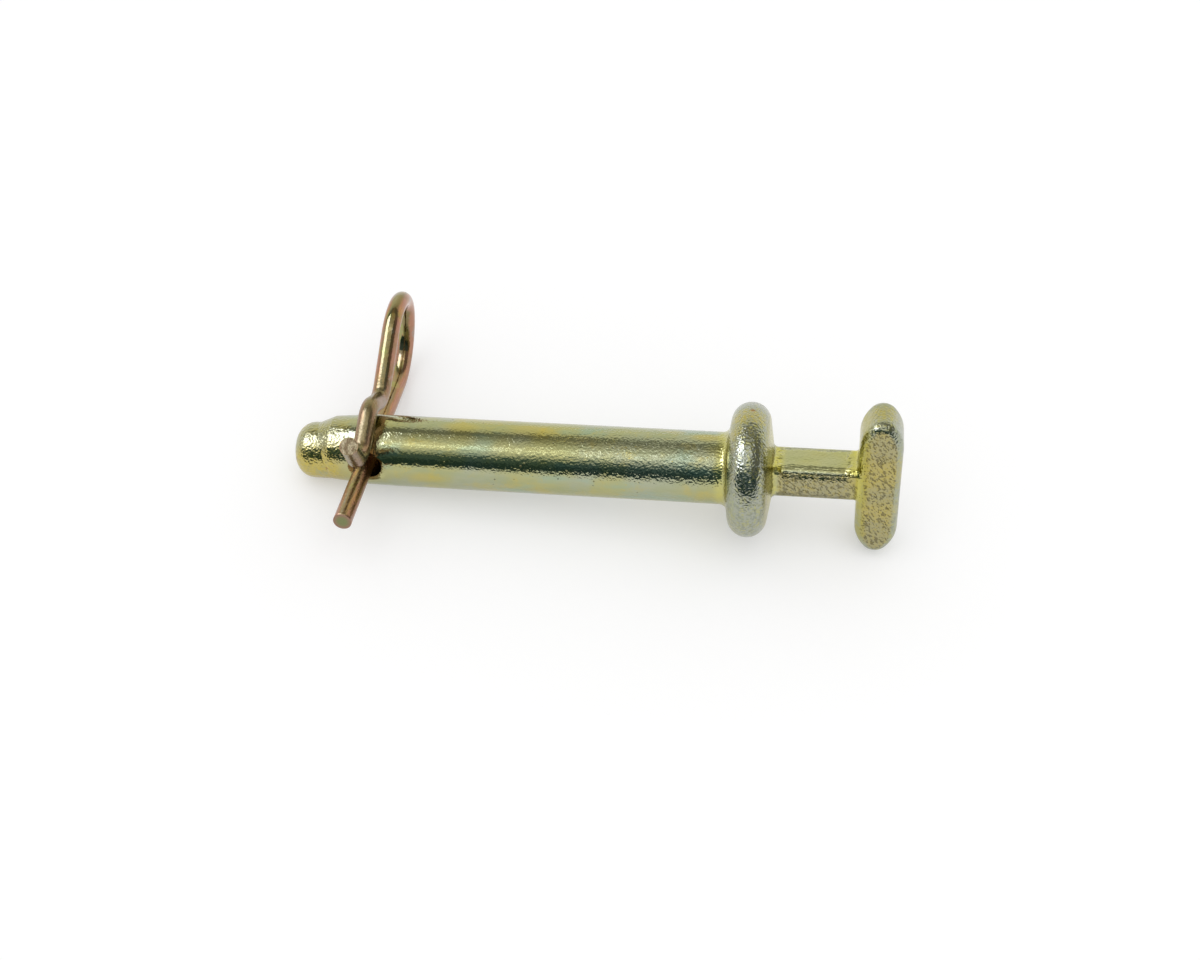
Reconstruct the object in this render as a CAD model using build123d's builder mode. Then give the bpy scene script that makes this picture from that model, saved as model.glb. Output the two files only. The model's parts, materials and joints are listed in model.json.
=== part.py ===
"""T-handle clevis pin with its hairpin clip.

The pin is one forging: blunt nose, round shank with a cross hole, rounded
shoulder, short rectangular neck and a T-bar to pull it by.  The clip is one
length of spring wire bent into an R, its straight leg through the cross hole
and its wavy leg riding over the shank.

Everything is drawn in the pin frame and then laid on the table:
    X  along the shank, from the cross hole to the handle
    Y  along the cross hole, toward the loop of the clip
    Z  along the T-bar, toward the wavy leg of the clip
Lengths are millimetres, angles are degrees.
"""
from build123d import *
import math
import os

os.makedirs("parts", exist_ok=True)

# ---------------------------------------------------------------- shank
SHANK_D = 15.875            # five-eighths of an inch
RELIEF_START = 5.4          # toward the nose from here the shank is eased a little,
RELIEF = 0.1                # so a burr round the cross hole never binds in a clevis
TAPER_START = 1.4           # the lead-in taper begins this far past the hole
TAPER_END = 8.9             # and runs to here
TAPER_DROP = 0.8            # radius lost along it
STEP_LENGTH = 3.8           # short ramp between the taper and the nose
STEP_DROP = 1.65            # radius lost along the ramp
STEP_ROUND = 5.0            # rounding where the taper turns down into the ramp

# ---------------------------------------------------------------- nose
NOSE_REACH = 17.8           # cross hole to the blunt end
NOSE_D = 12.6
NOSE_CROWN = 0.8            # how far the blunt end domes forward
NOSE_CORNER = 4.0           # rounding between the end and the side
NOSE_SHIFT = 0.75           # the forged nose sits this far off the shank axis
NOSE_SHIFT_ANGLE = 231.0    # direction of that shift, from +Y toward +Z

# ---------------------------------------------------------------- cross hole
HOLE_D = 6.8
HOLE_RISE = 1.05            # it is drilled this far off the middle, toward the wavy leg
DISH_D = 9.8                # shallow dish worn and coined round each mouth
DISH_DEPTH = 0.9

# ---------------------------------------------------------------- shoulder
SHOULDER_X = 84.1           # cross hole to the middle of the shoulder
SHOULDER_D = 29.6
SHOULDER_RIM = 4.3          # radius of the rounded rim
SHOULDER_DRAFT = 9.0        # lean of each flank
SHANK_FILLET = 1.6          # shank to shoulder

# ---------------------------------------------------------------- neck and T-bar
BAR_X = 112.0               # cross hole to the middle of the T-bar
BAR_LENGTH = 35.0
BAR_DROP = 0.4              # the T-bar sits this far off the shank axis, away from the clip
BAR_WIDTH = 9.2             # along the shank
BAR_THICK = 10.0            # along the cross hole
BAR_END_R = 9.0             # each end eases in on this radius
BAR_END_TURN = 40.0         # through this angle, and then rounds over at the tip
BAR_EDGE = 2.1              # rounding of all the edges
NECK_HEIGHT = 7.9           # along the T-bar
NECK_THICK = 9.2            # along the cross hole
NECK_EDGE = 1.5
NECK_FILLET = 1.0           # neck to shoulder and neck to T-bar

# ---------------------------------------------------------------- hairpin clip
WIRE_D = 4.0
LEG_REACH = 25.2            # straight leg, from the shank axis to its cut end
LEG_REST_ANGLE = 52.0       # the leg leans down and toward the nose in its hole
LEG_REST_GAP = 0.05         # clearance left where it leans on the wall
SEAT_GAP = 0.10             # clearance left between the wavy leg and the shank
LOOP_START = 24.4           # the leg runs this far past the axis, then loops
LOOP_RADII = (9.9, 13.4, 9.1)   # the loop is a little flat across its far end
LOOP_TURNS = (57.0, 43.0)   # turn of the first two arcs; the third runs to the side
NECK_BEND_R = 4.0           # bend where the wavy leg nears the straight leg
NECK_BEND_S = 8.0           # its centre, along the leg
NECK_BEND_RISE = 2.25       # and this far out beyond the seat circle
TURN_BEND_R = 4.0           # bend that turns the wavy leg over the shank
TURN_BEND_S = -0.45         # its centre, along the leg
TURN_BEND_SINK = 2.3        # and this far inside the seat circle
TAIL_BEND_R = 4.5
TAIL_FLARE = 55.5           # lift of the tail, which lets it ride up on the shank
TAIL_LENGTH = 8.2
CLIP_SWIVEL = 6.6           # lean of the clip toward the handle, about its leg

# ---------------------------------------------------------------- worked out
shank_r = SHANK_D / 2
wire_r = WIRE_D / 2
nose_side = Vector(
    0,
    NOSE_SHIFT * math.cos(math.radians(NOSE_SHIFT_ANGLE)),
    NOSE_SHIFT * math.sin(math.radians(NOSE_SHIFT_ANGLE)),
)
rim_centre = SHOULDER_D / 2 - SHOULDER_RIM
draft = math.radians(SHOULDER_DRAFT)
flank_x = SHOULDER_RIM * math.cos(draft)
flank_r = rim_centre + SHOULDER_RIM * math.sin(draft)
foot_x = flank_x + flank_r * math.tan(draft)
bar_turn = math.radians(BAR_END_TURN)
bar_tip_r = BAR_END_R + (BAR_WIDTH / 2 - BAR_END_R) / math.cos(bar_turn)
bar_end_length = BAR_END_R * math.sin(bar_turn) + bar_tip_r * (1 - math.sin(bar_turn))
swivel = math.radians(CLIP_SWIVEL)
leg_play = HOLE_D / 2 - wire_r - LEG_REST_GAP
leg_x = -leg_play * math.cos(math.radians(LEG_REST_ANGLE))
leg_z = HOLE_RISE - leg_play * math.sin(math.radians(LEG_REST_ANGLE))
seat_r = shank_r / math.cos(swivel) + wire_r + SEAT_GAP


def straight_between(first, r1, second, r2):
    """Heading and length of the straight from one bend circle to the next.

    A radius is positive for a bend to the left and negative for one to the right.
    """
    reach = second - first
    bearing = math.degrees(math.atan2(reach.Y, reach.X)) % 360
    tilt = math.degrees(math.asin((r1 - r2) / reach.length))
    return bearing + tilt, math.sqrt(reach.length**2 - (r1 - r2) ** 2)


# ================================================================ pin
with BuildPart() as pin:
    # shank with its lead-in taper and ramp, and the shoulder with its drafted flanks
    with BuildSketch(Plane.XY):
        with BuildLine():
            Polyline(
                (SHOULDER_X + foot_x, 0),
                (-TAPER_END - STEP_LENGTH, 0),
                (-TAPER_END - STEP_LENGTH, shank_r - TAPER_DROP - STEP_DROP),
                (-TAPER_END, shank_r - TAPER_DROP),
                (-TAPER_START, shank_r - RELIEF),
                (RELIEF_START, shank_r),
                (SHOULDER_X - foot_x + shank_r * math.tan(draft), shank_r),
                (SHOULDER_X - flank_x, flank_r),
            )
            ThreePointArc(
                (SHOULDER_X - flank_x, flank_r),
                (SHOULDER_X, SHOULDER_D / 2),
                (SHOULDER_X + flank_x, flank_r),
            )
            Line((SHOULDER_X + flank_x, flank_r), (SHOULDER_X + foot_x, 0))
        profile = make_face()
        inner_corner = profile.vertices().sort_by_distance(
            (SHOULDER_X - foot_x + shank_r * math.tan(draft), shank_r)
        )[0]
        fillet(inner_corner, SHANK_FILLET)
        taper_corner = profile.vertices().sort_by_distance(
            (-TAPER_END, shank_r - TAPER_DROP)
        )[0]
        fillet(taper_corner, STEP_ROUND)
    revolve(axis=Axis.X)

    # blunt nose, a little off the axis of the shank
    with BuildSketch(Plane(origin=nose_side, x_dir=(1, 0, 0), z_dir=(0, 0, 1))):
        with BuildLine():
            Polyline(
                (-NOSE_REACH, 0),
                (NOSE_CROWN - NOSE_REACH, NOSE_D / 2),
                (-TAPER_START, NOSE_D / 2),
                (-TAPER_START, 0),
                close=True,
            )
        nose_face = make_face()
        fillet(nose_face.vertices().sort_by(Axis.X)[1], NOSE_CORNER)
    revolve(axis=Axis(nose_side, (1, 0, 0)))

    # T-bar: a slab with tapering round ends, lying across the end of the neck
    with BuildPart(mode=Mode.PRIVATE) as bar:
        with BuildSketch(Plane.XZ.offset(-BAR_THICK / 2)):
            with BuildLine():
                for way in (1, -1):
                    edge_x = BAR_X + way * BAR_WIDTH / 2
                    edge_z = way * (BAR_LENGTH / 2 - bar_end_length)
                    edge = Line((edge_x, -edge_z - BAR_DROP), (edge_x, edge_z - BAR_DROP))
                    ease_in = JernArc(edge @ 1, edge % 1, BAR_END_R, BAR_END_TURN)
                    tip = JernArc(ease_in @ 1, ease_in % 1, bar_tip_r, 180 - 2 * BAR_END_TURN)
                    JernArc(tip @ 1, tip % 1, BAR_END_R, BAR_END_TURN)
            make_face()
        extrude(amount=BAR_THICK)
        rims = bar.faces().filter_by(Axis.Y).edges()
        fillet(rims, BAR_EDGE)
    add(bar.part)

    # neck between the shoulder and the T-bar
    with BuildSketch(Plane.YZ.offset(SHOULDER_X)):
        RectangleRounded(NECK_THICK, NECK_HEIGHT, NECK_EDGE)
    extrude(amount=BAR_X - SHOULDER_X)
    neck_ends = pin.edges().filter_by(
        lambda e: SHOULDER_X + flank_x < e.center().X < BAR_X - BAR_WIDTH / 2 + BAR_EDGE
        and e.bounding_box().size.X < NECK_HEIGHT / 2
        and abs(e.center().Y) < NECK_THICK / 2 + NECK_EDGE
        and abs(e.center().Z) < NECK_HEIGHT / 2 + NECK_EDGE
        and e.bounding_box().size.Z < NECK_THICK
    )
    fillet(neck_ends, NECK_FILLET)

    # cross hole, dished at both mouths
    with BuildSketch(Plane.XZ):
        with Locations((0, HOLE_RISE)):
            Circle(HOLE_D / 2)
    extrude(amount=SHANK_D, both=True, mode=Mode.SUBTRACT)
    for side in (-1, 1):
        mouth = Plane(
            origin=(0, side * shank_r, HOLE_RISE), x_dir=(1, 0, 0), z_dir=(0, side, 0)
        )
        with Locations(mouth.offset(-DISH_DEPTH)):
            Cone(
                HOLE_D / 2,
                DISH_D / 2,
                DISH_DEPTH,
                align=(Align.CENTER, Align.CENTER, Align.MIN),
                mode=Mode.SUBTRACT,
            )


# ================================================================ clip
# drawn flat: first axis along the straight leg, second toward the wavy leg
loop_centre = Vector(LOOP_START, LOOP_RADII[0])
heading = 0
for turned, r_now, r_next in zip(LOOP_TURNS, LOOP_RADII, LOOP_RADII[1:]):
    heading += turned
    loop_centre += (r_now - r_next) * Vector(0, -1).rotate(Axis.Z, heading)
shank_axis = Vector(0, -leg_z / math.cos(swivel))
neck_centre = shank_axis + Vector(NECK_BEND_S, seat_r + NECK_BEND_RISE)
turn_centre = shank_axis + Vector(TURN_BEND_S, seat_r - TURN_BEND_SINK)
side_heading, side_run = straight_between(
    loop_centre, LOOP_RADII[2], neck_centre, -NECK_BEND_R
)
rise_heading, rise_run = straight_between(
    neck_centre, -NECK_BEND_R, turn_centre, TURN_BEND_R
)
fall_heading, fall_run = straight_between(turn_centre, TURN_BEND_R, shank_axis, seat_r)

clip_plane = Plane(
    origin=(leg_x, 0, leg_z),
    x_dir=(0, 1, 0),
    z_dir=(math.cos(swivel), 0, -math.sin(swivel)),
)

with BuildPart() as hairpin_clip:
    with BuildLine(clip_plane) as wire_line:
        leg = Line((-LEG_REACH, 0), (LOOP_START, 0))
        swell = JernArc(leg @ 1, leg % 1, LOOP_RADII[0], LOOP_TURNS[0])
        crown = JernArc(swell @ 1, swell % 1, LOOP_RADII[1], LOOP_TURNS[1])
        close = JernArc(crown @ 1, crown % 1, LOOP_RADII[2], side_heading - heading)
        side = Line(close @ 1, close @ 1 + side_run * (close % 1))
        neck_bend = JernArc(side @ 1, side % 1, NECK_BEND_R, rise_heading - side_heading)
        rise = Line(neck_bend @ 1, neck_bend @ 1 + rise_run * (neck_bend % 1))
        turn = JernArc(rise @ 1, rise % 1, TURN_BEND_R, fall_heading - rise_heading)
        fall = Line(turn @ 1, turn @ 1 + fall_run * (turn % 1))
        flare = JernArc(fall @ 1, fall % 1, TAIL_BEND_R, 180 - fall_heading - TAIL_FLARE)
        Line(flare @ 1, flare @ 1 + TAIL_LENGTH * (flare % 1))
    with BuildSketch(Plane(origin=leg @ 0, z_dir=leg % 0)):
        Circle(wire_r)
    sweep(path=wire_line.wire())

# ================================================================ as it lies
# On a table it settles on three places: the edge where the shank begins to
# taper, the loop of the clip, and at the handle either the lower end of the
# T-bar or the shoulder, whichever stands prouder.  Each pass takes the lowest
# point of each for the table found so far and lays a new table through them.
shoulder_centre = Vector(SHOULDER_X, 0, 0)
bar_end = Vector(BAR_X, BAR_THICK / 2 - BAR_EDGE, bar_tip_r - BAR_LENGTH / 2 - BAR_DROP)
taper_edge = Vector(-TAPER_START, 0, 0)
swell_centre = clip_plane.from_local_coords(Vector(LOOP_START, LOOP_RADII[0], 0))
up = Vector(0, 0, 1)
for _ in range(12):
    down = -1 * up
    across_bar = Vector(down.X, 0, down.Z).normalized()
    across_shank = Vector(0, down.Y, down.Z).normalized()
    across_loop = (down - down.dot(clip_plane.z_dir) * clip_plane.z_dir).normalized()
    bar_touch = bar_end + (bar_tip_r - BAR_EDGE) * across_bar + BAR_EDGE * down
    rim_touch = shoulder_centre + rim_centre * across_shank + SHOULDER_RIM * down
    shank_touch = taper_edge + (shank_r - RELIEF) * across_shank
    loop_touch = swell_centre + LOOP_RADII[0] * across_loop + wire_r * down
    to_bar, to_rim = bar_touch - shank_touch, rim_touch - shank_touch
    to_handle = min(to_bar, to_rim, key=lambda reach: reach.Z / reach.X)
    up = to_handle.cross(loop_touch - shank_touch).normalized()

table = Plane(origin=shank_touch, x_dir=Vector(1, 0, 0) - up.X * up, z_dir=up)
lay = table.location.inverse()
pin.part.move(lay)
hairpin_clip.part.move(lay)
box = pin.part.bounding_box().add(hairpin_clip.part.bounding_box())
to_middle = Pos(-box.center().X, -box.center().Y, 0)
pin.part.move(to_middle)
hairpin_clip.part.move(to_middle)

pin.part.label = "pin"
hairpin_clip.part.label = "hairpin_clip"
export_step(pin.part, "parts/pin.step")
export_step(hairpin_clip.part, "parts/hairpin_clip.step")
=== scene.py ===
"""Looks of a T-handle clevis pin with its hairpin clip, lying on a white table.

The forging and the wire are both yellow zinc plated: the forging has a pebbled
skin over pale straw metal, lemon in its hollows that is partly plating colour
and partly painted reflection, and brass on the faces round the neck that is
painted reflection of the gold they throw on each other.  The wire is smoother
and shows the plating's rainbow, with its half toward the handle painted darker
as painted shade.  Long glowing cards round the table and a bright window at
the left are seen only in the metal's gloss.

Lengths are metres.  The pin's own axes are read from the frame: x along the
shank toward the handle, y along the cross hole toward the clip's loop, and z
along the T-bar.  Places on the pin are millimetres from the cross hole.
"""

import json
import math

import bpy
import numpy as np
from mathutils import Matrix, Vector

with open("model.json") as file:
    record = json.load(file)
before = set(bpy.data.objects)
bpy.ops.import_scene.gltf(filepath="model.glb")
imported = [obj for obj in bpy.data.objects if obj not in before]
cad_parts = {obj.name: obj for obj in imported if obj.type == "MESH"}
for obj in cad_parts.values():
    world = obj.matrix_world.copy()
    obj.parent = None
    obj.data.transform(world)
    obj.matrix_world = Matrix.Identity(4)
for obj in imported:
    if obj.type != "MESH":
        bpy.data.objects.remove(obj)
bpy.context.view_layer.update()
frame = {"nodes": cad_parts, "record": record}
nodes = frame["nodes"]
record = frame["record"]

# ------------------------------------------------------------- sizes and colours
MM = 0.001
MOUNT_TO_HOLE = 41.67 * MM      # middle of the bearing length to the cross hole

# camera, as seen from the cross hole
VIEW_DISTANCE = 370 * MM        # lens to the hole, straight ahead
HOLE_LEFT = 50.65 * MM          # the hole lies this far left of the view's middle
HOLE_UP = 6.92 * MM             # and this far above it
HANDLE_NEARER = 7.75            # degrees the handle end is turned toward the lens
HANDLE_LOWER = 3.18             # degrees the shank slopes down to the handle
HOLE_TILT = 51.0                # degrees the cross hole leans back from the view's up
LENS = 49.36                    # on the usual 36 mm wide film
FILM_WIDTH = 36

# table and light
TABLE_HALF = 3.0
TABLE_WHITE = (0.71, 0.71, 0.71, 1)
TABLE_LIFT = 0.33               # glow that brings the table to white for the eye and the gloss
ROOM_LIGHT = 0.85
CARD_DISTANCE = 0.7             # from the part to the cards beside it
CARD_REACH = 1.4                # how far they run to the left and right
CARD_RIGHT = 0.30               # the bright ones stop here at the right
BRIGHT_CARDS = (45, 112)        # which ones those are, by the degree they start at

# what the part sees round it, from the front of the table over the top to the back:
# degrees from, degrees to, glow
AROUND = [
    (5, 27, (0.03, 0.06, 0.065)),
    (27, 45, (0.08, 0.13, 0.14)),
    (45, 53, (0.42, 0.47, 0.46)),
    (53, 61, (0.78, 0.80, 0.78)),
    (61, 68, (1.10, 1.11, 1.03)),
    (68, 71, (1.00, 1.01, 0.94)),
    (71, 73.5, (3.00, 3.05, 3.20)),
    (73.5, 77, (1.00, 1.00, 0.92)),
    (77, 84, (1.10, 1.09, 0.98)),
    (84, 98, (0.78, 0.77, 0.68)),
    (98, 112, (0.48, 0.47, 0.38)),
    (112, 130, (0.26, 0.26, 0.21)),
    (130, 140, (0.72, 0.72, 0.60)),
    (140, 152, (0.90, 0.90, 0.76)),
    (152, 178, (0.99, 0.98, 0.82)),
]
LEFT_WINDOW = [
    (-0.22, -0.18, 0.34),
    (-0.22, 0.15, 0.39),
    (-0.60, 0.15, 0.39),
    (-0.60, -0.18, 0.34),
]
LEFT_GLOW = (4.0, 4.1, 5.0)
RIGHT_DARK = [
    (0.24, -0.50, 0.45),
    (0.24, 0.32, 0.60),
    (1.60, 0.32, 0.60),
    (1.60, -0.50, 0.45),
]
RIGHT_GLOW = (0.22, 0.22, 0.18)

# plating colours of the forging; brass is painted reflection, and lemon is partly painted
# reflection
STRAW = (0.43, 0.42, 0.20, 1)
STRAW_PALE = (0.40, 0.42, 0.29, 1)
STRAW_GREEN = (0.33, 0.37, 0.21, 1)
SILVER = (0.36, 0.38, 0.33, 1)
FRECKLE = (0.23, 0.25, 0.20, 1)
GOLD = (0.54, 0.43, 0.09, 1)
LEMON_AND_PAINTED_BOUNCE = (0.62, 0.57, 0.14, 1)
BRASS_PAINTED_BOUNCE = (0.44, 0.38, 0.05, 1)
TEAL = (0.27, 0.42, 0.36, 1)
TAN = (0.40, 0.34, 0.13, 1)
PIT = (0.10, 0.08, 0.04, 1)
STAIN = (0.30, 0.14, 0.04, 1)

# plating colours of the wire, and a painted-shade olive
OLIVE = (0.31, 0.27, 0.14, 1)
OLIVE_PAINTED_SHADE = (0.23, 0.18, 0.08, 1)
LEAF = (0.36, 0.42, 0.14, 1)
ROSE = (0.43, 0.22, 0.15, 1)
COPPER = (0.52, 0.31, 0.11, 1)
GREY = (0.33, 0.32, 0.28, 1)
RUBBED = (0.25, 0.20, 0.12, 1)
SAWN_RIM = (0.30, 0.18, 0.13, 1)
SAWN_MIDDLE = (0.20, 0.22, 0.10, 1)
SHEAR_DARK = (0.16, 0.11, 0.07, 1)
SHEAR_PALE = (0.46, 0.40, 0.28, 1)

# single marks on the forging, and their reach
GOLD_MARKS = [
    ((20.5, -0.4, 7.9), 2.4),
    ((36.5, -0.3, 7.9), 3.0),
    ((13.5, -7.8, -1.0), 2.2),
    ((75.0, 0.4, 7.9), 2.0),
    ((113.5, -5.0, -5.7), 4.2),
    ((112.5, -5.0, 4.5), 5.5),
    ((83.0, 0.0, 14.5), 3.6),
    ((81.8, -4.0, 12.6), 2.4),
    ((112.0, 0.0, 17.0), 3.2),
]
STAIN_MARKS = [
    ((89.2, -1.7, 5.6), 0.9),
    ((84.5, 2.0, 14.5), 0.8),
    ((-9.4, -6.9, -0.6), 0.45),
    ((-16.7, -5.0, 0.2), 0.7),
]
MARK_STRETCH = 0.4              # gold marks are drawn out along the shank by this

SKIN_DEPTH = 0.30 * MM          # relief of the forging's skin for a height of 1
WIRE_DEPTH = 0.20 * MM
NECK_ROLL = 1050                # how fast the neck's faces roll off, in heights per metre
NICK_SLANT = 0.7                # radians the nicks on the flats lean

CLIP_SWIVEL = math.radians(6.6)  # the clip's lean round its straight leg
CLIP_OFFSET = -0.83 * MM        # where its middle plane crosses the shank's line
LEG_TIP = (-0.82, -25.2, 0.0)   # middle of the straight leg's sawn end
TAIL_TIP = (0.92, -18.12, 14.95)  # middle of the tail's cut end

# ------------------------------------------------------------- the pin's axes
shank_mount = record["mounts"][0]
along_shank = -np.array(shank_mount["axis"])
along_hole = np.array(record["behaviour"]["joints"][0]["axis"])
along_bar = np.cross(along_shank, along_hole)
hole_middle = np.array(shank_mount["pos_m"]) - MOUNT_TO_HOLE * along_shank
pin_axes = np.stack([along_shank, along_hole, along_bar], axis=1)
pin_turn = Matrix(pin_axes.tolist()).to_euler()


# ------------------------------------------------------------- shader tools
class Value:
    """A socket in an expression: + - * / and ** build Math nodes in its tree."""

    def __init__(self, finish, socket):
        self.finish = finish
        self.socket = socket

    def _maths(self, operation, first, second=None):
        inputs = {0: first} if second is None else {0: first, 1: second}
        node = self.finish.node("ShaderNodeMath", inputs, operation=operation)
        return Value(self.finish, node.outputs[0])

    def __add__(self, other):
        return self._maths("ADD", self, other)

    __radd__ = __add__

    def __mul__(self, other):
        return self._maths("MULTIPLY", self, other)

    __rmul__ = __mul__

    def __sub__(self, other):
        return self._maths("SUBTRACT", self, other)

    def __rsub__(self, other):
        return self._maths("SUBTRACT", other, self)

    def __truediv__(self, other):
        return self._maths("DIVIDE", self, other)

    def __pow__(self, other):
        return self._maths("POWER", self, other)

    def above(self, other):
        return self._maths("MAXIMUM", self, other)

    def below(self, other):
        return self._maths("MINIMUM", self, other)

    def size(self):
        return self._maths("ABSOLUTE", self)

    def step(self, low, high):
        """0 at low, 1 at high, smooth in between and level outside them."""
        node = self.finish.node(
            "ShaderNodeMapRange",
            {"Value": self, "From Min": low, "From Max": high},
            interpolation_type="SMOOTHSTEP",
        )
        return Value(self.finish, node.outputs["Result"])

    def over(self, start, end):
        """The same step between two places in millimetres."""
        return self.step(start * MM, end * MM)


class Finish:
    """One material, built node by node."""

    def __init__(self, name):
        self.material = bpy.data.materials.new(name)
        self.material.use_nodes = True
        self.tree = self.material.node_tree
        self.shader = self.tree.nodes["Principled BSDF"]

    def put(self, socket, value):
        """Links a value or a socket to `socket`, or sets a plain number or colour on it."""
        if isinstance(value, Value):
            value = value.socket
        if isinstance(value, bpy.types.NodeSocket):
            self.tree.links.new(value, socket)
        else:
            socket.default_value = value

    def node(self, kind, inputs=None, **settings):
        """A new node of this kind, with its settings and then its sockets."""
        made = self.tree.nodes.new(kind)
        for name, value in settings.items():
            setattr(made, name, value)
        for name, value in (inputs or {}).items():
            self.put(made.inputs[name], value)
        return made

    def feed(self, **sockets):
        """Sets or links the Principled shader's own sockets."""
        for name, value in sockets.items():
            self.put(self.shader.inputs[name.replace("_", " ").title()], value)

    def scaled(self, vector, stretch):
        """Each part of the vector times the same part of `stretch`."""
        made = self.node("ShaderNodeVectorMath", {0: vector, 1: stretch}, operation="MULTIPLY")
        return made.outputs[0]

    def place(self, stretch=(1, 1, 1)):
        """Object coordinates turned to the pin's own axes, in metres from the hole."""
        coords = self.node("ShaderNodeTexCoord").outputs["Object"]
        moved = self.node(
            "ShaderNodeVectorMath",
            {0: coords, 1: hole_middle.tolist()},
            operation="SUBTRACT",
        )
        turned = self.node(
            "ShaderNodeVectorRotate",
            {"Vector": moved.outputs[0], "Rotation": pin_turn},
            rotation_type="EULER_XYZ",
            invert=True,
        )
        return self.scaled(turned.outputs[0], stretch)

    def parts(self, vector):
        """The vector's x, y and z as values."""
        split = self.node("ShaderNodeSeparateXYZ", {0: vector})
        return [Value(self, out) for out in split.outputs]

    def noise(self, vector, grain, detail=2.0, rough=0.5):
        """Noise whose lumps are about `grain` millimetres across, from 0 to 1."""
        made = self.node(
            "ShaderNodeTexNoise",
            {"Vector": vector, "Scale": 1 / (grain * MM), "Detail": detail, "Roughness": rough},
        )
        return Value(self, made.outputs["Fac"])

    def cells(self, vector, grain, smooth=None):
        """Distance to the nearest of points strewn about `grain` millimetres apart."""
        inputs = {"Vector": vector, "Scale": 1 / (grain * MM)}
        if smooth is None:
            made = self.node("ShaderNodeTexVoronoi", inputs, feature="F1")
        else:
            made = self.node("ShaderNodeTexVoronoi", inputs, feature="SMOOTH_F1")
            made.inputs["Smoothness"].default_value = smooth
        return Value(self, made.outputs["Distance"])

    def near(self, vector, centre, reach):
        """1 round `centre`, falling to 0 at `reach` millimetres from it."""
        made = self.node(
            "ShaderNodeVectorMath",
            {0: vector, 1: [c * MM for c in centre]},
            operation="DISTANCE",
        )
        radius = reach * MM
        return Value(self, made.outputs["Value"]).step(radius, radius * 0.3)

    def mix(self, amount, first, second):
        """Colour that goes from first to second as amount goes from 0 to 1."""
        made = self.node("ShaderNodeMix", {0: amount, 6: first, 7: second}, data_type="RGBA")
        return made.outputs[2]

    def bump(self, height, depth):
        """Normal of the surface raised by `height` times `depth` metres."""
        inputs = {"Height": height, "Distance": depth, "Strength": 1.0}
        return self.node("ShaderNodeBump", inputs).outputs["Normal"]


# ------------------------------------------------------------- the forging
class ForgingZones:
    """Where the forging's regions are, each about 1 inside it and 0 outside it."""

    def __init__(self, f):
        self.here = f.place()
        x, y, z = f.parts(self.here)
        self.x, self.y, self.z = x, y, z
        from_axis = (y * y + z * z) ** 0.5
        self.patches = f.noise(self.here, 6, 4, 0.65)

        # the rough forging from the shoulder on, the nose, and the turned shank between
        self.handle = x.over(76, 84)
        self.nose = x.over(-3, -9)
        self.turned = 1.0 - (self.handle + self.nose).below(1.0)

        # the T-bar, the flats of neck and T-bar, the neck's upper face, and what looks down
        self.bar = x.over(107, 108)
        self.flat = (y.size() - self.bar * 0.5 * MM).over(4.2, 4.5) * x.over(90, 91)
        self.neck_top = z.over(3.0, 3.8) * x.over(89, 90) * x.over(108, 107)
        self.under = (0.0 - y - z * 0.5).over(1, 6)

        # the hollows at the shoulder and at both ends of the neck, whose lemon is partly
        # painted reflection
        shoulder = (x - 79.4 * MM).size().over(3.2, 1.0) * from_axis.over(12, 9)
        neck_ends = (x - 89.6 * MM).size().over(2.8, 0.4)
        neck_ends = neck_ends + (x - 106.8 * MM).size().over(2.4, 0.4)
        neck_ends = neck_ends * from_axis.over(11, 8) * self.patches.step(0.25, 0.65)
        self.hollows = shoulder * 0.6 + neck_ends * 0.85

        # the sides of the shoulder and of the T-bar that face each other over the neck, painted
        # brass as painted reflection
        collar_side = x.over(85.4, 87.4) * x.over(90, 89) * from_axis.over(13.4, 11.5)
        bar_side = x.over(106.6, 107.4) * x.over(110.4, 108.6)
        self.inner_sides = collar_side + bar_side
        self.gold = self._gold(f)

    def _gold(self, f):
        """Gold where the plating is thicker: in patches, over the nose, at the marks."""
        gold = self.patches.step(0.52, 0.70) * 0.35 * (1.0 - self.handle * 0.5)
        gold = gold + self.nose * (self.under * 0.75 + 0.28) * self.patches.step(0.20, 0.45)
        long_place = f.place((MARK_STRETCH, 1, 1))
        for (along, down, side), reach in GOLD_MARKS:
            gold = gold + f.near(long_place, (along * MARK_STRETCH, down, side), reach) * 0.45
        return gold


def forging_nicks(f, zones):
    """Short slanted nicks, crowded on the flats of the handle."""
    slanted = f.node(
        "ShaderNodeVectorRotate",
        {"Vector": zones.here, "Axis": (0, 1, 0), "Angle": NICK_SLANT},
        rotation_type="AXIS_ANGLE",
    )
    short = f.scaled(slanted.outputs[0], (1, 1, 0.5))
    return f.noise(short, 0.37, 2, 0.5).step(0.54, 0.64) * zones.flat


def forging_pits(f, zones):
    """Stray pits, a few in each patch."""
    return f.cells(zones.here, 2.2).step(0.10, 0.05) * f.noise(zones.here, 5).step(0.5, 0.6)


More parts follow.
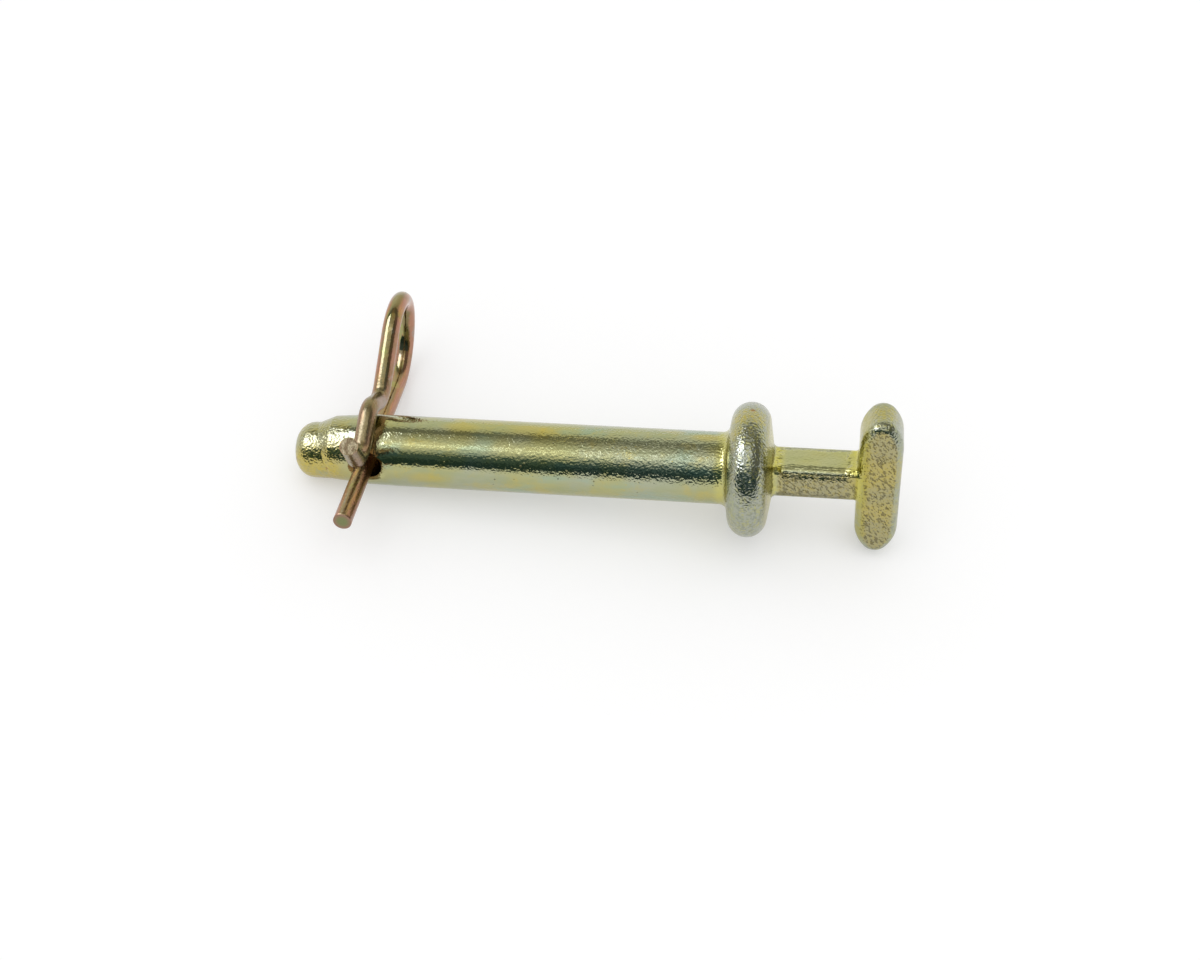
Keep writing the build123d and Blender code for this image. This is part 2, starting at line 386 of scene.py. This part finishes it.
def forging_colour(f, zones, nicks, pits):
    """Pale straw in drawn clouds, then gold, lemon and silver, then the dark marks; the brass
    on the facing sides and part of the lemon in the hollows are painted reflection.
    """
    here = zones.here
    colour = f.mix(f.noise(here, 13, 3, 0.55).step(0.38, 0.62), STRAW_PALE, STRAW)
    drawn = f.noise(f.place((0.22, 1, 1)), 3, 4, 0.6)
    colour = f.mix(drawn.step(0.45, 0.7) * 0.5, colour, STRAW_GREEN)
    tinge = f.noise(f.place((0.3, 1, 1)), 4.5, 2, 0.5)
    colour = f.mix(tinge.step(0.54, 0.68) * zones.turned * 0.4, colour, TEAL)

    colour = f.mix(zones.flat * 0.85, colour, TAN)
    colour = f.mix(zones.gold.below(0.9), colour, GOLD)
    # painted reflection: brass in patches on the facing sides of shoulder and T-bar stands for
    # the gold light they throw on each other
    colour = f.mix(zones.inner_sides * zones.patches.step(0.25, 0.62) * 0.8, colour, BRASS_PAINTED_BOUNCE)
    # lemon in the hollows and a little on the neck's upper face: plating colour, and in the
    # hollows also painted reflection of the gold faces round them
    lemon = (zones.hollows * 0.9 + zones.neck_top * 0.22) * (1.0 - zones.flat * 0.8)
    colour = f.mix(lemon.below(0.9), colour, LEMON_AND_PAINTED_BOUNCE)

    # silvery freckles on the rough forging, gold ones on the turned shank
    bare = zones.handle * (0.85 - zones.bar * 0.2) + zones.nose * 0.3
    bare = bare * (1.0 - zones.hollows.below(1.0)) * (1.0 - zones.flat * 0.65)
    bare = bare * (1.0 - zones.neck_top) * (1.0 - zones.inner_sides.below(1.0) * 0.75)
    silver = f.noise(here, 0.7, 3, 0.6).step(0.60, 0.48) * bare
    colour = f.mix(silver * (1.0 - zones.gold.below(1.0) * 0.6), colour, SILVER)
    freckles = f.noise(here, 0.8, 2, 0.6).step(0.48, 0.58) * bare
    colour = f.mix(freckles * (zones.under * 0.5 + 0.15), colour, FRECKLE)
    spots = f.cells(here, 1.1).step(0.20, 0.10) * f.noise(here, 7).step(0.50, 0.60)
    colour = f.mix(spots * zones.turned * 0.5, colour, GOLD)

    dark = nicks * (zones.bar * 0.22 + 0.36) + pits * 0.8
    colour = f.mix(dark.below(1.0), colour, PIT)
    for centre, reach in STAIN_MARKS:
        colour = f.mix(f.near(here, centre, reach) * 0.8, colour, STAIN)
    return colour


def forging_height(f, zones, nicks, pits):
    """Pebbles and lumps of the forging, lathe lines round the shank, nicks and pits.

    The neck's faces also roll off toward its edges, by the square of the
    distance past where the face stops being flat.
    """
    here, x = zones.here, zones.x
    pebbles = f.noise(here, 0.5, 1, 0.5) + f.cells(here, 0.6, smooth=0.6) * 0.35
    lumps = f.noise(here, 2.6, 2, 0.5)
    lines = f.noise(f.place((1, 0.05, 0.05)), 0.6, 2)
    coarse = x.over(10, 80) * 0.26 + 0.15
    coarse = coarse + zones.handle * 0.10 + zones.nose * 0.36 - zones.neck_top * 0.20
    height = pebbles * coarse + lumps * (zones.handle + zones.nose) * 0.42
    height = height + lines * zones.turned * 0.03

    sway = (f.noise(here, 2.2, 2, 0.5) - 0.5) * 2.2 * MM
    side_round, face_round = 1.9 * MM, 1.3 * MM
    past_side = (zones.z.size() + sway * 0.6 - 1.0 * MM).above(0.0).below(side_round)
    past_face = (zones.y.size() + sway * 0.6 - 2.2 * MM).above(0.0).below(face_round)
    rolled = past_side * past_side / side_round + past_face * past_face / face_round * 0.7
    neck = (x + sway).over(89.8, 91.6) * (x + sway).over(106.4, 104.6)
    return height - rolled * neck * NECK_ROLL - nicks * 0.5 - pits * 0.5


def forging_finish():
    """Plated forging: pale straw, gold in the hollows that is partly painted reflection, a
    pebbled skin and small pits.
    """
    f = Finish("forging_zinc")
    zones = ForgingZones(f)
    nicks = forging_nicks(f, zones)
    pits = forging_pits(f, zones)
    f.feed(
        base_color=forging_colour(f, zones, nicks, pits),
        metallic=1.0,
        roughness=0.06 + 0.07 * f.noise(zones.here, 1.1, 3) + zones.handle * 0.05,
        normal=f.bump(forging_height(f, zones, nicks, pits), SKIN_DEPTH),
    )
    return f.material


# ------------------------------------------------------------- the wire
def wire_rainbow(f, here, x, z):
    """Olive on the outer and inner faces, rosy on the two flanks, in streaks; the half toward
    the handle is painted darker, as painted shade.

    Which face it is comes from the distance across the clip's leaning plane.
    """
    across = (x - CLIP_OFFSET) * math.cos(CLIP_SWIVEL) - z * math.sin(CLIP_SWIVEL)
    streak = f.noise(f.place((2.5, 0.3, 0.8)), 2.0, 3, 0.6)
    hue = f.noise(here, 4.5, 2, 0.5)
    drift = across + (hue - 0.5) * 1.6 * MM
    straight_side = z.over(11, 3)
    # painted shade: the wire darkens from olive toward its handle side
    colour = f.mix(drift.over(-0.6, 1.0), OLIVE, OLIVE_PAINTED_SHADE)
    colour = f.mix(hue.step(0.56, 0.68) * 0.6, colour, LEAF)
    flank = (drift.size() + (streak - 0.5) * 0.8 * MM).over(0.6, 1.4)
    rosy = f.noise(here, 3.0, 2, 0.5).step(0.30, 0.58) * 0.6 + 0.35
    colour = f.mix((flank * rosy + straight_side * 0.25).below(0.92), colour, ROSE)
    colour = f.mix(streak.step(0.56, 0.70) * 0.6, colour, COPPER)
    return f.mix(streak.step(0.42, 0.30) * 0.6, colour, GREY)


def wire_ends(f, here, from_tip, colour):
    """The sawn tip has a green middle in a rosy rim, the tail's end dark shear lines."""
    sawn = f.mix(f.near(here, LEG_TIP, 2.1), SAWN_RIM, SAWN_MIDDLE)
    colour = f.mix(from_tip.over(0.08, 0.02), colour, sawn)
    shear = f.noise(f.place((1.0, 0.1, 1.0)), 0.9, 2, 0.5)
    cut = f.mix(shear.step(0.42, 0.56), SHEAR_DARK, SHEAR_PALE)
    return f.mix(f.near(here, TAIL_TIP, 2.05).step(0.0, 0.1), colour, cut)


def wire_finish():
    """Plated spring wire, scuffed and duller where it rides over the shank."""
    f = Finish("wire_zinc")
    here = f.place()
    x, y, z = f.parts(here)
    from_tip = y - LEG_TIP[1] * MM
    scuffed = y.over(13, 7)
    colour = wire_ends(f, here, from_tip, wire_rainbow(f, here, x, z))
    colour = f.mix(scuffed * z.over(4, 7) * 0.5, colour, RUBBED)
    grit = f.noise(here, 0.5, 2, 0.6)
    rounded = from_tip.over(0.6, 0.0)
    height = grit * (scuffed * 0.35 + 0.12) - rounded * rounded * 1.5
    f.feed(
        base_color=colour,
        metallic=1.0,
        roughness=0.09 + scuffed * 0.16 + (grit - 0.5) * 0.12,
        normal=f.bump(height, WIRE_DEPTH),
    )
    return f.material


def dress(node, material):
    """The CAD node takes this material in every slot."""
    mesh = nodes[node].data
    mesh.materials.clear()
    mesh.materials.append(material)


dress("pin", forging_finish())
dress("hairpin_clip", wire_finish())


# ------------------------------------------------------------- table and light
def stage_mesh(name, corners, material):
    """One flat face that belongs to the studio, not to the part."""
    mesh = bpy.data.meshes.new(name)
    mesh.from_pydata(corners, [], [tuple(range(len(corners)))])
    mesh.materials.append(material)
    made = bpy.data.objects.new(name, mesh)
    bpy.context.scene.collection.objects.link(made)
    return made


def table():
    """A wide white table top, level with the part's lowest points."""
    f = Finish("table_white")
    rays = f.node("ShaderNodeLightPath").outputs
    seen = Value(f, rays["Is Camera Ray"]) + Value(f, rays["Is Glossy Ray"])
    seen = seen + Value(f, rays["Is Transmission Ray"])
    lift = f.node("ShaderNodeEmission", {"Strength": seen * TABLE_LIFT})
    both = f.node("ShaderNodeAddShader", {0: f.shader.outputs[0], 1: lift.outputs[0]})
    f.put(f.tree.nodes["Material Output"].inputs["Surface"], both.outputs[0])
    f.feed(base_color=TABLE_WHITE, roughness=0.9)
    f.shader.inputs["Specular IOR Level"].default_value = 0.0
    h = TABLE_HALF
    stage_mesh("table", [(-h, -h, 0), (h, -h, 0), (h, h, 0), (-h, h, 0)], f.material)


def card(name, corners, glow):
    """A flat glowing card, seen only in the part's gloss."""
    f = Finish(name)
    f.feed(
        base_color=(0, 0, 0, 1),
        roughness=1.0,
        emission_color=(*glow, 1),
        emission_strength=1.0,
    )
    f.shader.inputs["Specular IOR Level"].default_value = 0.0
    made = stage_mesh(name, corners, f.material)
    made.visible_camera = False
    made.visible_diffuse = False
    made.visible_shadow = False


def strip(low, high):
    """Corners of a card along the shank that fills the directions from low to high.

    They are degrees from the front of the table up over the part to its back.
    """
    near, far = [
        (-CARD_DISTANCE * math.cos(turn), CARD_DISTANCE * math.sin(turn))
        for turn in (math.radians(low), math.radians(high))
    ]
    first, last = BRIGHT_CARDS
    right = CARD_RIGHT if first <= low < last else CARD_REACH
    return [(-CARD_REACH, *near), (right, *near), (right, *far), (-CARD_REACH, *far)]


def soft_box(name, place, aim, width, height, power):
    """A rectangular lamp at `place`, facing `aim`."""
    lamp = bpy.data.lights.new(name, "AREA")
    lamp.shape = "RECTANGLE"
    lamp.size, lamp.size_y = width, height
    lamp.energy = power
    made = bpy.data.objects.new(name, lamp)
    bpy.context.scene.collection.objects.link(made)
    made.location = place
    made.rotation_euler = (Vector(aim) - Vector(place)).to_track_quat("-Z", "Y").to_euler()


def white_room():
    """An even white world."""
    world = bpy.data.worlds.new("white_room")
    world.use_nodes = True
    background = world.node_tree.nodes["Background"].inputs
    background["Color"].default_value = (1, 1, 1, 1)
    background["Strength"].default_value = ROOM_LIGHT
    bpy.context.scene.world = world


table()
for count, (low_turn, high_turn, glow) in enumerate(AROUND):
    card(f"reflector_{count}", strip(low_turn, high_turn), glow)
card("left_window", LEFT_WINDOW, LEFT_GLOW)
card("right_dark", RIGHT_DARK, RIGHT_GLOW)
soft_box("overhead", place=(0, -0.1, 1.1), aim=(0, 0, 0), width=1.4, height=1.0, power=2.0)
white_room()


# ------------------------------------------------------------- camera
def camera():
    """Camera axes in the pin's frame, from the three angles, then into the room."""
    near, lower = math.radians(HANDLE_NEARER), math.radians(HANDLE_LOWER)
    tilt = math.radians(HOLE_TILT)
    shank = np.array([
        math.cos(near) * math.cos(lower),
        -math.cos(near) * math.sin(lower),
        math.sin(near),
    ])
    up = np.array([0, 1, 0]) - shank * shank[1]
    up /= np.linalg.norm(up)
    toward = np.cross(shank, up)
    hole = math.cos(tilt) * up - math.sin(tilt) * toward
    bar = math.sin(tilt) * up + math.cos(tilt) * toward
    seen = np.stack([shank, hole, bar], axis=1)
    turn = pin_axes @ seen.T
    hole_seen = np.array([-HOLE_LEFT, HOLE_UP, -VIEW_DISTANCE])
    place = hole_middle - turn @ hole_seen
    data = bpy.data.cameras.new("camera")
    data.lens = LENS
    data.sensor_width = FILM_WIDTH
    data.clip_start, data.clip_end = 0.01, 20
    made = bpy.data.objects.new("camera", data)
    bpy.context.scene.collection.objects.link(made)
    made.matrix_world = Matrix.Translation(place) @ Matrix(turn.tolist()).to_4x4()
    bpy.context.scene.camera = made


camera()
bpy.context.scene.view_settings.view_transform = "Standard"
